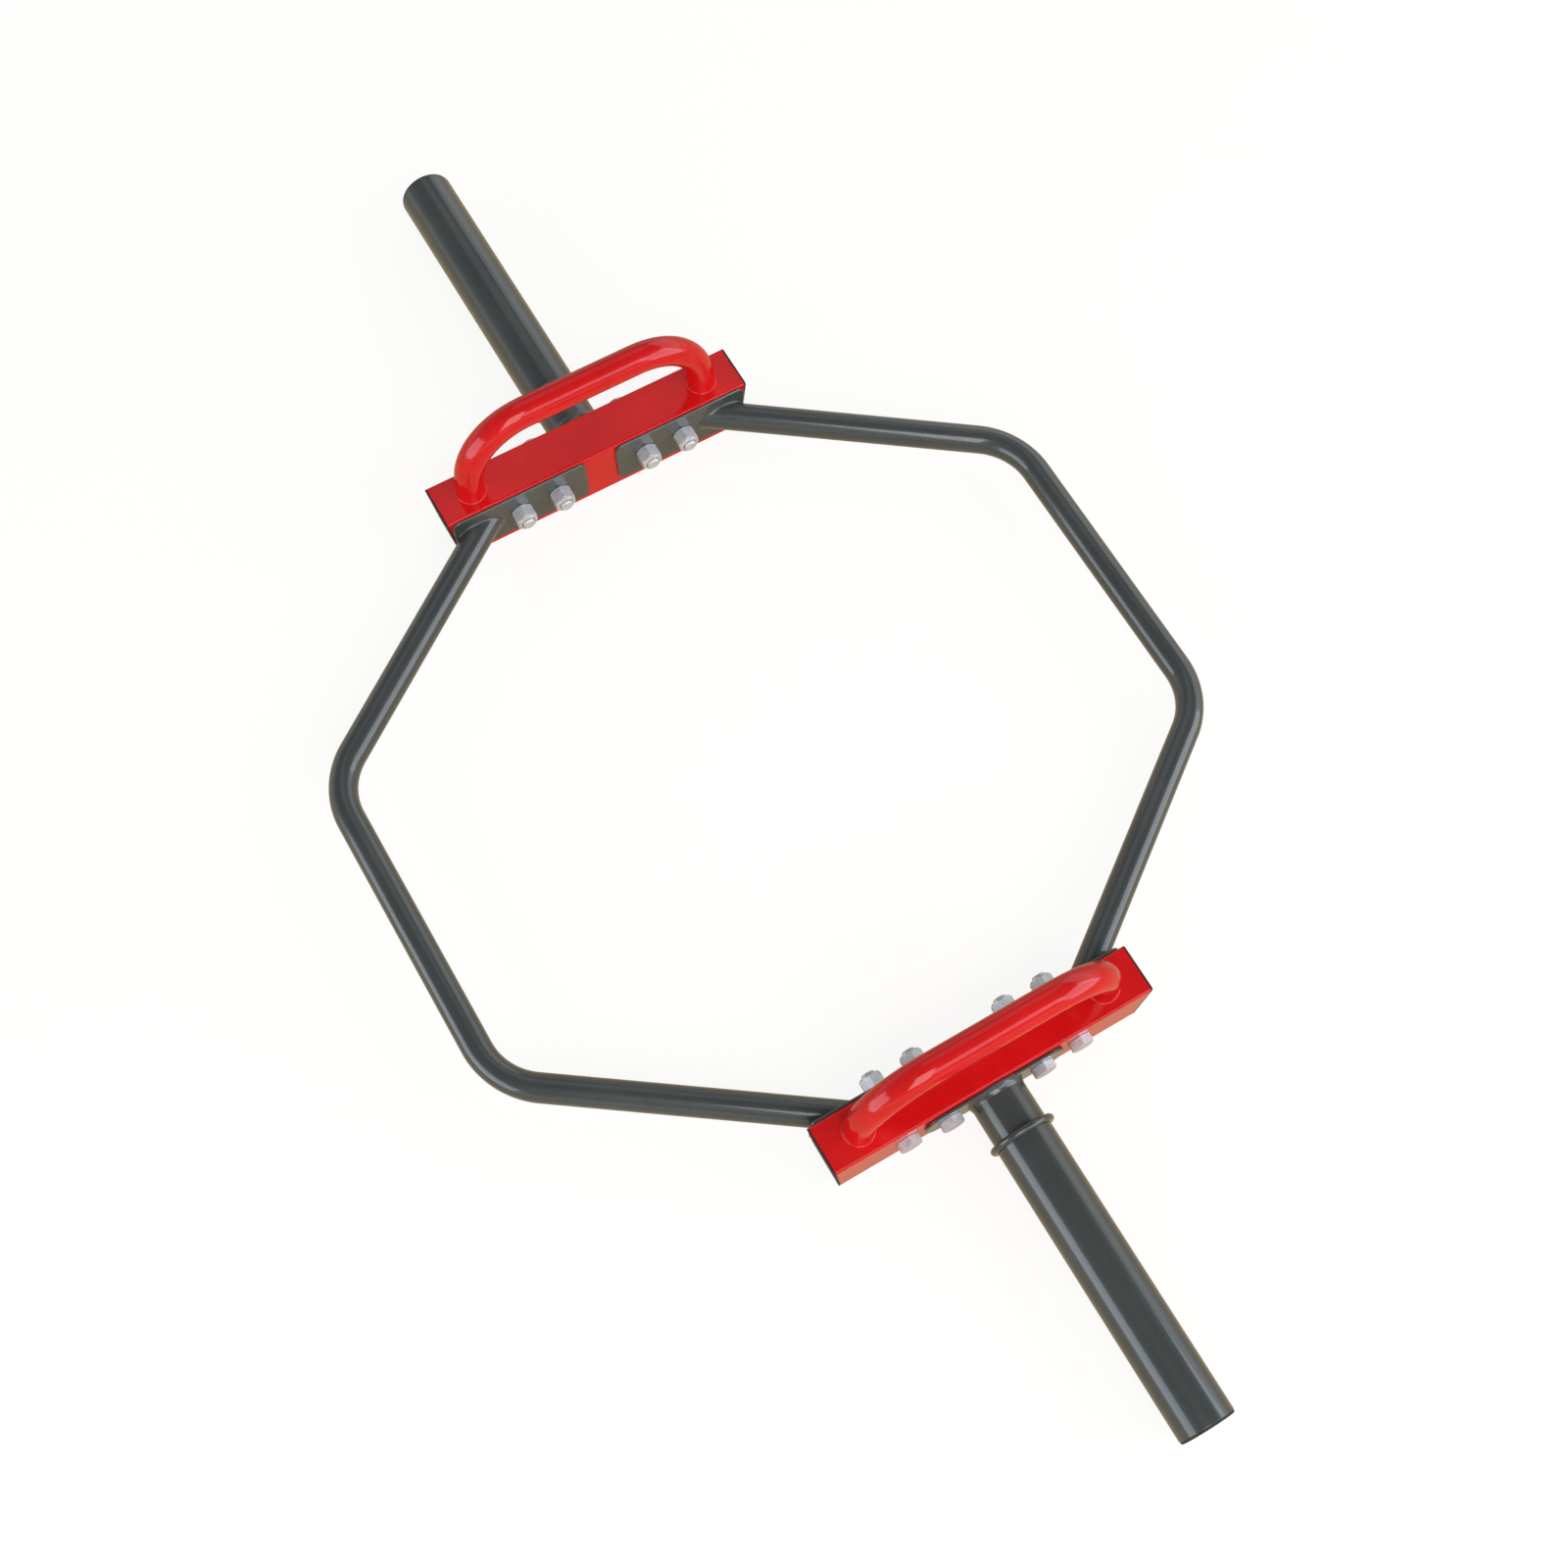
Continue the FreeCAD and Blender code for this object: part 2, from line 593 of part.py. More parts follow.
os.makedirs("parts", exist_ok=True)
for item in nodes:
    item.Shape.exportStep(f"parts/{item.Label}.step")
    print(f"{item.Label}: {len(item.Shape.Solids)} solids, {item.Shape.Volume / 1000:.2f} cm3")
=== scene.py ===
import json
import math
import random

import bmesh
import bpy
from mathutils import Matrix, Vector


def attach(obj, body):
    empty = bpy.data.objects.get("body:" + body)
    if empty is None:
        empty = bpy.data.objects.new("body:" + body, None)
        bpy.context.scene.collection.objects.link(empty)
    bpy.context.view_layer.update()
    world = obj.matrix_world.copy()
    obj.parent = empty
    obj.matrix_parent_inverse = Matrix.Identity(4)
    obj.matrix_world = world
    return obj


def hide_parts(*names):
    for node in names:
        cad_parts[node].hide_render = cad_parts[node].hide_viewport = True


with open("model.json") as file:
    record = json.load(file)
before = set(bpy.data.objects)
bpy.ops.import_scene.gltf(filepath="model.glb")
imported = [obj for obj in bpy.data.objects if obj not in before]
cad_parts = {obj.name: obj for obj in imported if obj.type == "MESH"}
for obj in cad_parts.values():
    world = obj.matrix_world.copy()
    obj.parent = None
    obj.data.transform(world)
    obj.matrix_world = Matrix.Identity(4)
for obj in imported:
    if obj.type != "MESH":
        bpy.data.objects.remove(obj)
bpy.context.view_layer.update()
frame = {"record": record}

MM = 0.001
FULL_TURN = 2 * math.pi
SIDES = (("right", 1), ("left", -1))
ENDS = (("front", 1), ("rear", -1))

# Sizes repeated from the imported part
BEAM_INNER = 313.0
BEAM_OUTER = 357.0
BEAM_MIDDLE = (BEAM_INNER + BEAM_OUTER) / 2
BEAM_HEIGHT = 60.0
BEAM_LENGTH = 304.5
BEAM_CORNER = 2.5
END_RAKE = 6.5
END_CAP = 1.5
FRAME_HEIGHT = 34.0
SLEEVE_HEIGHT = 31.0
TUBE_RADIUS = 12.7
RING_REACH = 346.0
RING_CORNER = 150.0
RING_FOOT = 122.5
RING_BEND = 68.0
PLATE_THICKNESS = 2.5
PLATE_FACE = BEAM_INNER - PLATE_THICKNESS
PLATE_HEIGHT = 50.0
PLATE_START = 15.5
PLATE_LENGTH = 132.5
PLATE_CORNER = 7.0
FLANGE_THICKNESS = 3.0
FLANGE_FACE = BEAM_OUTER + FLANGE_THICKNESS
FLANGE_LENGTH = 132.0
FLANGE_HEIGHT = 40.0
FLANGE_CORNER = 16.0
FLANGE_DISC = 28.0
BOLT_RADIUS = 6.0
BOLT_PLACES = (44.5, 83.0)
HEX_FLATS = 19.0
HEX_FACE = 9.2
HEAD_HEIGHT = 8.0
NUT_HEIGHT = 14.0
NUT_COLLAR = 9.1
NUT_END = PLATE_FACE - NUT_HEIGHT
BOLT_PAST_NUT = 2.5
BOLT_END = NUT_END - BOLT_PAST_NUT
THREAD_BORE = 6.1
INSERT_RADIUS = 7.0
INSERT_HEIGHT = 2.4
SLEEVE_RADIUS = 25.0
NECK_RADIUS = 24.3
SLEEVE_LENGTH = 306.0
SLEEVE_END = FLANGE_FACE + SLEEVE_LENGTH
SLEEVE_CAP_RIM = 2.0
SLEEVE_CAP_INSET = 0.5
SLEEVE_CAP_PLUG = 15.0
SLEEVE_CAP_BORE = 19.8
STOP_RING_DISTANCE = 41.0
STOP_RING_PLACE = FLANGE_FACE + STOP_RING_DISTANCE
STOP_RING_WIRE = 3.0
STOP_RING_SINK = 0.4
NECK_END = STOP_RING_PLACE + STOP_RING_WIRE
STOP_RING_RADIUS = NECK_RADIUS + STOP_RING_WIRE - STOP_RING_SINK
HANDLE_RADIUS = 13.0
GRIP_LEVEL = 136.0
LEG_FOOT = 117.0
LEG_CORNER = 112.0
HANDLE_BEND = 62.0
TUBE_WELD = 2.0
SLEEVE_WELD = 2.8
SLEEVE_WELD_LENGTH = 5.0

# Sizes of the looks alone: hexagons that each have their own turn, handle welds that hardly show, soft edges
NUT_HEX = 12.8
HEX_ROUNDING = 0.3
HEX_TURN_LIMIT = 10
HANDLE_WELD_LEG = 1.0
HANDLE_WELD_HEIGHT = 1.25
PLATE_SOFTENING = 0.7
FLANGE_SOFTENING = 0.9

# Edges that turn by more than these angles stay sharp
SMOOTH_CREASE = math.radians(32)
FASTENER_CREASE = math.radians(24)
WELD_CREASE = math.radians(60)

# Levels of noise that colour ramps start, pass and end at
LOW, MIDDLE, HIGH = 0.3, 0.5, 0.7

chance = random.Random(7)


# Materials: each is a node tree on a Principled shader
class Shader:
    def __init__(self, name, **sockets):
        self.material = bpy.data.materials.new(name)
        self.material.use_nodes = True
        self.tree = self.material.node_tree
        self.surface = self.tree.nodes["Principled BSDF"]
        for socket, setting in sockets.items():
            self.surface.inputs[socket.replace("_", " ")].default_value = setting
        self.coordinates = self.tree.nodes.new("ShaderNodeTexCoord").outputs["Object"]

    def add(self, kind, settings=None, **sockets):
        node = self.tree.nodes.new(f"ShaderNode{kind}")
        for name, setting in (settings or {}).items():
            setattr(node, name, setting)
        for socket, source in sockets.items():
            target = node.inputs[socket.replace("_", " ")]
            if isinstance(source, bpy.types.NodeSocket):
                self.tree.links.new(source, target)
            else:
                target.default_value = source
        return node

    def noise(self, scale, detail=3.0, roughness=0.5, stretch=None):
        place = self.coordinates
        if stretch:
            place = self.add("Mapping", Vector=place, Scale=stretch).outputs["Vector"]
        node = self.add("TexNoise", Vector=place, Scale=scale, Detail=detail, Roughness=roughness)
        return node.outputs["Fac"]

    def ramp(self, source, stops):
        node = self.add("ValToRGB", Fac=source)
        elements = node.color_ramp.elements
        while len(elements) < len(stops):
            elements.new(0.5)
        for element, (place, colour) in zip(elements, stops):
            element.position = place
            element.color = (*colour, 1.0) if isinstance(colour, tuple) else (colour, colour, colour, 1.0)
        return node.outputs["Color"]

    def blend(self, under, over, share):
        node = self.add("MixRGB", Color1=under, Color2=over, Fac=share)
        return node.outputs["Color"]

    # Lighter colour where the surface turns over an edge within a reach in millimetres, broken up by noise:
    # partly paint worn off the edges, partly a painted highlight along them
    def wear_and_edge_sheen(self, reach, amount):
        soft = self.add("Bevel", {"samples": 6}, Radius=reach * MM).outputs["Normal"]
        flat = self.add("NewGeometry").outputs["Normal"]
        match = self.add("VectorMath", {"operation": "DOT_PRODUCT"})
        self.tree.links.new(soft, match.inputs[0])
        self.tree.links.new(flat, match.inputs[1])
        # Edge mask for the lighter colour, which stands partly for wear and partly for a painted edge
        # highlight
        turned, level = 0.80, 0.985
        edge = self.ramp(match.outputs["Value"], [(turned, amount), (level, 0.0)])
        least_edge_share = 0.25
        rubbed_and_sheen = self.ramp(self.noise(scale=150.0, detail=5.0), [(0.35, least_edge_share), (0.65, 1.0)])
        worn = self.add("MixRGB", {"blend_type": "MULTIPLY"}, Fac=1.0, Color1=edge, Color2=rubbed_and_sheen)
        return worn.outputs["Color"]

    def join(self, socket, source):
        self.tree.links.new(source, self.surface.inputs[socket])

    def bump(self, height, distance):
        node = self.add("Bump", Height=height, Distance=distance, Strength=1.0)
        self.join("Normal", node.outputs["Normal"])


def red_paint():
    shader = Shader("red_paint", Specular_IOR_Level=0.5)
    tone = shader.noise(scale=14.0, detail=6.0, roughness=0.65)
    deep, middle, bright = (0.62, 0.005, 0.006), (0.68, 0.007, 0.008), (0.75, 0.010, 0.011)
    paint = shader.ramp(tone, [(LOW, deep), (MIDDLE, middle), (HIGH, bright)])
    # Lighter red on the edges: partly worn paint, partly a painted highlight along the rounded edges
    rubbed_and_sheen = (0.80, 0.055, 0.045, 1.0)
    shader.join("Base Color", shader.blend(paint, rubbed_and_sheen, shader.wear_and_edge_sheen(reach=0.9, amount=0.7)))
    shader.join("Roughness", shader.ramp(shader.noise(scale=90.0, detail=5.0), [(LOW, 0.07), (HIGH, 0.14)]))
    shader.bump(shader.noise(scale=240.0, detail=2.0), distance=0.00003)
    return shader.material


def grey_paint():
    shader = Shader("grey_paint", Coat_Weight=0.9, Coat_Roughness=0.07)
    tone = shader.noise(scale=12.0, detail=6.0, roughness=0.6)
    deep, bright = (0.041, 0.047, 0.045), (0.056, 0.063, 0.060)
    paint = shader.ramp(tone, [(LOW, deep), (HIGH, bright)])
    # Lighter grey on the edges: partly worn paint, partly a painted highlight along the edges
    rubbed_and_sheen = (0.16, 0.16, 0.15, 1.0)
    shader.join("Base Color", shader.blend(paint, rubbed_and_sheen, shader.wear_and_edge_sheen(reach=0.7, amount=0.5)))
    rub = shader.noise(scale=70.0, detail=4.0, stretch=(0.06, 1.0, 1.0))
    shader.join("Roughness", shader.ramp(rub, [(LOW, 0.24), (HIGH, 0.36)]))
    shader.bump(shader.noise(scale=300.0, detail=2.0), distance=0.00003)
    return shader.material


def zinc():
    shader = Shader("zinc", Metallic=0.45)
    mottle = shader.noise(scale=190.0, detail=5.0)
    dull, middle, bright = (0.60, 0.59, 0.63), (0.70, 0.69, 0.71), (0.76, 0.74, 0.73)
    plating = shader.ramp(mottle, [(LOW, dull), (MIDDLE, middle), (HIGH, bright)])
    # Paler zinc on the edges: partly rubbed plating, partly a painted highlight along the edges
    rubbed_and_sheen = (0.86, 0.86, 0.88, 1.0)
    shader.join("Base Color", shader.blend(plating, rubbed_and_sheen, shader.wear_and_edge_sheen(reach=0.4, amount=0.4)))
    shader.join("Roughness", shader.ramp(shader.noise(scale=320.0), [(LOW, 0.26), (HIGH, 0.40)]))
    shader.bump(shader.noise(scale=700.0, detail=2.0), distance=0.000006)
    return shader.material


def plastic(name, dark, light, roughness):
    shader = Shader(name)
    shader.join("Base Color", shader.ramp(shader.noise(scale=120.0), [(LOW, dark), (HIGH, light)]))
    spread = 0.06
    levels = [(LOW, roughness - spread), (HIGH, roughness + spread)]
    shader.join("Roughness", shader.ramp(shader.noise(scale=200.0), levels))
    shader.bump(shader.noise(scale=1500.0, detail=2.0), distance=0.00005)
    return shader.material


materials = {
    "red_paint": red_paint(),
    "grey_paint": grey_paint(),
    "zinc_steel": zinc(),
    "dark_plastic": plastic("dark_plastic", (0.010, 0.010, 0.010), (0.018, 0.018, 0.017), 0.5),
    "pale_plastic": plastic("pale_plastic", (0.42, 0.40, 0.33), (0.52, 0.50, 0.42), 0.45),
}
slots = {subpart["node"]: subpart["material_slot"] for subpart in frame["record"]["subparts"]}


# Closed forms built from rings of points, gathered into one piece for each node
class Form:
    def __init__(self):
        self.points = []
        self.faces = []

    def add_rings(self, rings, wrap=False):
        start = len(self.points)
        count = len(rings[0])
        for ring in rings:
            self.points.extend(ring)
        for row in range(len(rings) if wrap else len(rings) - 1):
            here = start + row * count
            there = start + (row + 1) % len(rings) * count
            for index in range(count):
                beside = (index + 1) % count
                self.faces.append((here + index, here + beside, there + beside, there + index))
        if not wrap:
            last = start + (len(rings) - 1) * count
            self.faces.append(tuple(range(start, start + count)))
            self.faces.append(tuple(range(last, last + count)))

    def stand_for(self, node, crease=SMOOTH_CREASE):
        mesh = bpy.data.meshes.new(f"{node}_look")
        mesh.from_pydata([Vector(point) * MM for point in self.points], [], self.faces)
        builder = bmesh.new()
        builder.from_mesh(mesh)
        bmesh.ops.recalc_face_normals(builder, faces=builder.faces)
        for face in builder.faces:
            face.smooth = True
        for edge in builder.edges:
            edge.smooth = edge.calc_face_angle(0.0) < crease
        builder.to_mesh(mesh)
        builder.free()
        mesh.materials.append(materials[slots[node]])
        piece = bpy.data.objects.new(f"{node}_look", mesh)
        bpy.context.scene.collection.objects.link(piece)
        weighted = piece.modifiers.new("weighted_normals", "WEIGHTED_NORMAL")
        weighted.keep_sharp = True
        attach(piece, "root")
        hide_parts(node)


# Outlines in a plane, as lists of points in order
def arc(centre, radius, start, finish, steps):
    turns = [math.radians(start + (finish - start) * step / steps) for step in range(steps + 1)]
    return [(centre[0] + radius * math.cos(turn), centre[1] + radius * math.sin(turn)) for turn in turns]


def rounded_rectangle(low, high, radius, steps=6):
    (left, bottom), (right, top) = low, high
    corners = [(right, bottom, -90), (right, top, 0), (left, top, 90), (left, bottom, 180)]
    points = []
    for across, up, turn in corners:
        centre_across = across + (radius if across == left else -radius)
        centre_up = up + (radius if up == bottom else -radius)
        points += arc((centre_across, centre_up), radius, turn, turn + 90, steps)
    return points


def hexagon_outline(flats, rounding, turn, flat_steps=6, corner_steps=3):
    apothem = flats / 2
    half_side = apothem * math.tan(math.pi / 6) - rounding * math.tan(math.pi / 6)
    points = []
    for side in range(6):
        facing = turn + side * FULL_TURN / 6
        normal = Vector((math.cos(facing), math.sin(facing)))
        along = Vector((-normal.y, normal.x))
        for step in range(flat_steps + 1):
            points.append(normal * apothem + along * half_side * (2 * step / flat_steps - 1))
        centre = normal * (apothem - rounding) + along * half_side
        for step in range(1, corner_steps):
            lean = facing + step / corner_steps * FULL_TURN / 6
            points.append(centre + rounding * Vector((math.cos(lean), math.sin(lean))))
    return points


# Circle across X, with points at the given turns
def round_ring(sign, x, y, z, radius, turns):
    return [(sign * x, y + radius * math.cos(turn), z + radius * math.sin(turn)) for turn in turns]


# Round forms along X: profile points are distance from the middle of the bar and radius
def add_lathe(form, sign, profile, y, z, wrap=False, steps=72):
    turns = [FULL_TURN * step / steps for step in range(steps)]
    form.add_rings([round_ring(sign, x, y, z, radius, turns) for x, radius in profile], wrap)


# Flat slabs along X, with both faces softened at their edges
def add_slab(form, sign, near, far, outline, soften):
    layers = [(near, soften), (near + soften, 0.0), (far - soften, 0.0), (far, soften)]
    form.add_rings([[(sign * x, y, z) for y, z in outline(inset)] for x, inset in layers])


# Middle line of a bent tube in its own plane: straight runs joined by arcs
def bent_line(corners, bend, bend_steps=24, run_steps=8):
    corners = [Vector(corner) for corner in corners]
    line = []
    start = corners[0]
    for before, corner, after in zip(corners, corners[1:], corners[2:]):
        arriving = (corner - before).normalized()
        leaving = (after - corner).normalized()
        turn = arriving.angle_signed(leaving)
        reach = bend * math.tan(abs(turn) / 2)
        entry = corner - arriving * reach
        for step in range(run_steps):
            line.append((start.lerp(entry, step / run_steps), arriving, 0.0))
        side = 1 if turn > 0 else -1
        centre = entry + Vector((arriving.y, -arriving.x)) * bend * side
        for step in range(bend_steps + 1):
            share = step / bend_steps
            lean = Matrix.Rotation(-turn * share, 2)
            line.append((centre + lean @ (entry - centre), lean @ arriving, math.sin(math.pi * share)))
        start = corner + leaving * reach
    last = (corners[-1] - start).normalized()
    for step in range(1, run_steps + 1):
        line.append((start.lerp(corners[-1], step / run_steps), last, 0.0))
    return line


# Round tube along such a line, a little oval in its bends, with flat-cut feet
def add_tube(form, line, radius, to_space, foot_normal, steps=48):
    flattening = 0.035
    rings = []
    for index, (centre, along, bending) in enumerate(line):
        across = Vector((-along.y, along.x))
        ring = []
        for step in range(steps):
            turn = FULL_TURN * step / steps
            inward = radius * math.cos(turn) * (1 - flattening * bending)
            upward = radius * math.sin(turn) * (1 + flattening * bending / 2)
            point = centre + across * inward
            if index in (0, len(line) - 1):
                point = point - along * ((point - centre).dot(foot_normal) / along.dot(foot_normal))
            ring.append(to_space(point.x, point.y, upward))
        rings.append(ring)
    form.add_rings(rings)


# Weld bead round a tube where it meets a flat face, with its root inside the tube's wall
def add_bead(form, foot, axis, normal, radius, leg, height, hollow, ripples, ripple_depth):
    root_depth = 0.6
    crown_lift = 0.15
    steps_per_ripple = 6
    foot, axis, normal = Vector(foot), Vector(axis).normalized(), Vector(normal)
    first = axis.orthogonal().normalized()
    second = axis.cross(first)
    steps = ripples * steps_per_ripple
    layers = 7
    rings = [[] for _ in range(layers + 2)]
    for step in range(steps):
        turn = FULL_TURN * step / steps
        radial = first * math.cos(turn) + second * math.sin(turn)
        outward = (radial - normal * radial.dot(normal)).normalized()
        edge = foot + radial * radius
        edge = edge - axis * ((edge - foot).dot(normal) / axis.dot(normal))
        wave = abs(math.sin(turn * ripples / 2))
        swell = 1 - ripple_depth * (1 - wave)
        base = edge + outward * leg * swell
        top = edge + axis * (height * swell / axis.dot(normal)) + radial * crown_lift
        rings[0].append(edge - radial * root_depth)
        for layer in range(layers + 1):
            share = layer / layers
            sag = math.sin(math.pi * share) * hollow * leg * swell
            rings[layer + 1].append(base.lerp(top, share) - (normal + outward) * sag)
    form.add_rings(rings, wrap=True)


# Beams and their end covers
def beam_outline(inset):
    low = (BEAM_INNER + inset, inset)
    high = (BEAM_OUTER - inset, BEAM_HEIGHT - inset)
    return rounded_rectangle(low, high, BEAM_CORNER - inset)


def raked_ring(sign, facing, reach, inset):
    ring = []
    for x, z in beam_outline(inset):
        rake = END_RAKE * (1 - z / BEAM_HEIGHT)
        ring.append((sign * x, facing * (reach - rake), z))
    return ring


def dress_beam(side, sign):
    soften = 0.4
    reach = BEAM_LENGTH / 2 - END_CAP
    form = Form()
    form.add_rings([
        raked_ring(sign, -1, reach, soften),
        raked_ring(sign, -1, reach - soften, 0.0),
        raked_ring(sign, 1, reach - soften, 0.0),
        raked_ring(sign, 1, reach, soften),
    ])
    form.stand_for(f"{side}_beam")
    for end, facing in ENDS:
        cover = Form()
        cover.add_rings([
            raked_ring(sign, facing, reach, soften),
            raked_ring(sign, facing, reach + soften / 2, 0.0),
            raked_ring(sign, facing, reach + END_CAP - soften, 0.0),
            raked_ring(sign, facing, reach + END_CAP, soften),
        ])
        cover.stand_for(f"{side}_beam_{end}_cap")


# Plates and flanges
def dress_plate(side, sign, end, facing):
    low = FRAME_HEIGHT - PLATE_HEIGHT / 2
    high = FRAME_HEIGHT + PLATE_HEIGHT / 2
    ends = sorted((facing * PLATE_START, facing * (PLATE_START + PLATE_LENGTH)))

    def outline(inset):
        first = (ends[0] + inset, low + inset)
        last = (ends[1] - inset, high - inset)
        return rounded_rectangle(first, last, PLATE_CORNER - inset, steps=8)

    form = Form()
    add_slab(form, sign, PLATE_FACE, BEAM_INNER, outline, PLATE_SOFTENING)
    form.stand_for(f"{side}_{end}_plate")


def flange_outline(inset):
    half_length = FLANGE_LENGTH / 2 - inset
    low = FRAME_HEIGHT - FLANGE_HEIGHT / 2 + inset
    high = FRAME_HEIGHT + FLANGE_HEIGHT / 2 - inset
    corner = FLANGE_CORNER - inset
    disc = FLANGE_DISC - inset
    centre = (0.0, SLEEVE_HEIGHT)
    top_turn = math.degrees(math.asin((high - SLEEVE_HEIGHT) / disc))
    bottom_turn = math.degrees(math.asin((SLEEVE_HEIGHT - low) / disc))
    corner_steps = 10
    disc_steps = 20
    end = half_length - corner
    points = arc((end, low + corner), corner, -90, 0, corner_steps)
    points += arc((end, high - corner), corner, 0, 90, corner_steps)
    points += arc(centre, disc, top_turn, 180 - top_turn, disc_steps)
    points += arc((-end, high - corner), corner, 90, 180, corner_steps)
    points += arc((-end, low + corner), corner, 180, 270, corner_steps)
    points += arc(centre, disc, 180 + bottom_turn, 360 - bottom_turn, disc_steps)
    return points


# Loading sleeves with flange, weld, stop ring and end plug
def dress_sleeve(side, sign):
    flange = Form()
    add_slab(flange, sign, BEAM_OUTER, FLANGE_FACE, flange_outline, FLANGE_SOFTENING)
    flange.stand_for(f"{side}_sleeve_flange")

    shoulder = 0.7
    rounding = 0.21
    sleeve = Form()
    add_lathe(sleeve, sign, [
        (FLANGE_FACE, NECK_RADIUS),
        (NECK_END - shoulder, NECK_RADIUS),
        (NECK_END, SLEEVE_RADIUS),
        (SLEEVE_END - shoulder, SLEEVE_RADIUS),
        (SLEEVE_END - rounding, SLEEVE_RADIUS - rounding),
        (SLEEVE_END, SLEEVE_RADIUS - shoulder),
    ], 0.0, SLEEVE_HEIGHT, steps=96)
    sleeve.stand_for(f"{side}_sleeve")

    weld = Form()
    add_bead(weld, (sign * FLANGE_FACE, 0.0, SLEEVE_HEIGHT), (sign, 0, 0), (sign, 0, 0), NECK_RADIUS,
             SLEEVE_WELD, SLEEVE_WELD_LENGTH, hollow=0.12, ripples=44, ripple_depth=0.006)
    weld.stand_for(f"{side}_sleeve_weld", WELD_CREASE)

    wire_steps = 24
    wire_centre = (STOP_RING_PLACE, STOP_RING_RADIUS)
    wire = arc(wire_centre, STOP_RING_WIRE, 0, 360 - 360 / wire_steps, wire_steps - 1)
    stop_ring = Form()
    add_lathe(stop_ring, sign, wire, 0.0, SLEEVE_HEIGHT, wrap=True, steps=96)
    stop_ring.stand_for(f"{side}_stop_ring")

    rim = SLEEVE_RADIUS - SLEEVE_CAP_INSET
    cap_end = SLEEVE_END + SLEEVE_CAP_RIM
    rounding = 1.2
    dish_radius = 18.0
    dish_depth = 0.8
    edge = arc((cap_end - rounding, rim - rounding), rounding, 90, 0, steps=6)
    cap = Form()
    add_lathe(cap, sign, [
        (SLEEVE_END - SLEEVE_CAP_PLUG, SLEEVE_CAP_BORE),
        (SLEEVE_END, SLEEVE_CAP_BORE),
        (SLEEVE_END, rim),
        *edge,
        (cap_end, dish_radius + dish_depth),
        (cap_end - dish_depth, dish_radius),
    ], 0.0, SLEEVE_HEIGHT)
    cap.stand_for(f"{side}_sleeve_cap")


# Hex bolts, lock nuts and their locking rings
def thread_radius(x, turn):
    pitch = 1.75
    depth = 0.2
    flank_slope = 1.3
    share = (x / pitch - turn / FULL_TURN) % 1.0
    return BOLT_RADIUS - depth * min(1.0, abs(2 * share - 1) * flank_slope)


def turned_hexagon():
    return hexagon_outline(HEX_FLATS, HEX_ROUNDING, math.radians(chance.uniform(0, HEX_TURN_LIMIT)))


# Hexagon whose corners fall back from a face, as a cone cuts them
def chamfered_ring(sign, face, direction, y, outline):
    slope = math.tan(math.pi / 6)
    ring = []
    for across, up in outline:
        drop = (math.hypot(across, up) - HEX_FACE) * slope
        ring.append((sign * (face - direction * drop), y + across, FRAME_HEIGHT + up))
    return ring


def add_bolt(form, sign, seat, y):
    outline = turned_hexagon()
    turns = [math.atan2(up, across) for across, up in outline]
    soften = 0.3
    tip_chamfer = 1.0
    thread_start = 0.1
    thread_length = 7.0
    thread_runout = 1.0
    thread_steps = 32

    def circle(x, radius):
        return round_ring(sign, x, y, FRAME_HEIGHT, radius, turns)

    def hexagon(x, scale=1.0):
        return [(sign * x, y + scale * across, FRAME_HEIGHT + scale * up) for across, up in outline]

    rings = [circle(BOLT_END, BOLT_RADIUS - 2 * tip_chamfer), circle(BOLT_END, BOLT_RADIUS - tip_chamfer)]
    for step in range(thread_steps + 1):
        x = BOLT_END + thread_start + thread_length * step / thread_steps
        limit = BOLT_RADIUS - max(0.0, tip_chamfer - (x - BOLT_END))
        ring = []
        for turn in turns:
            radius = min(limit, thread_radius(x, turn))
            ring.append((sign * x, y + radius * math.cos(turn), FRAME_HEIGHT + radius * math.sin(turn)))
        rings.append(ring)
    rings.append(circle(BOLT_END + thread_length + thread_runout, BOLT_RADIUS))
    rings.append(circle(seat, BOLT_RADIUS))
    rings.append(hexagon(seat, (HEX_FLATS / 2 - soften) / (HEX_FLATS / 2)))
    rings.append(hexagon(seat + soften))
    rings.append(chamfered_ring(sign, seat + HEAD_HEIGHT, 1, y, outline))
    rings.append(circle(seat + HEAD_HEIGHT, HEX_FACE))
    form.add_rings(rings)


def add_nut(form, sign, y):
    outline = turned_hexagon()
    turns = [math.atan2(up, across) for across, up in outline]
    hex_end = PLATE_FACE - NUT_HEX
    rounding = 0.8
    profile = [
        (hex_end, NUT_COLLAR),
        *arc((NUT_END + rounding, NUT_COLLAR - rounding), rounding, 90, 180, steps=6),
        (NUT_END, INSERT_RADIUS),
        (NUT_END + INSERT_HEIGHT, INSERT_RADIUS),
        (NUT_END + INSERT_HEIGHT, THREAD_BORE),
        (PLATE_FACE, THREAD_BORE),
    ]
    rings = [
        round_ring(sign, PLATE_FACE, y, FRAME_HEIGHT, HEX_FACE, turns),
        chamfered_ring(sign, PLATE_FACE, 1, y, outline),
        chamfered_ring(sign, hex_end, -1, y, outline),
    ]
    rings += [round_ring(sign, x, y, FRAME_HEIGHT, radius, turns) for x, radius in profile]
    form.add_rings(rings, wrap=True)


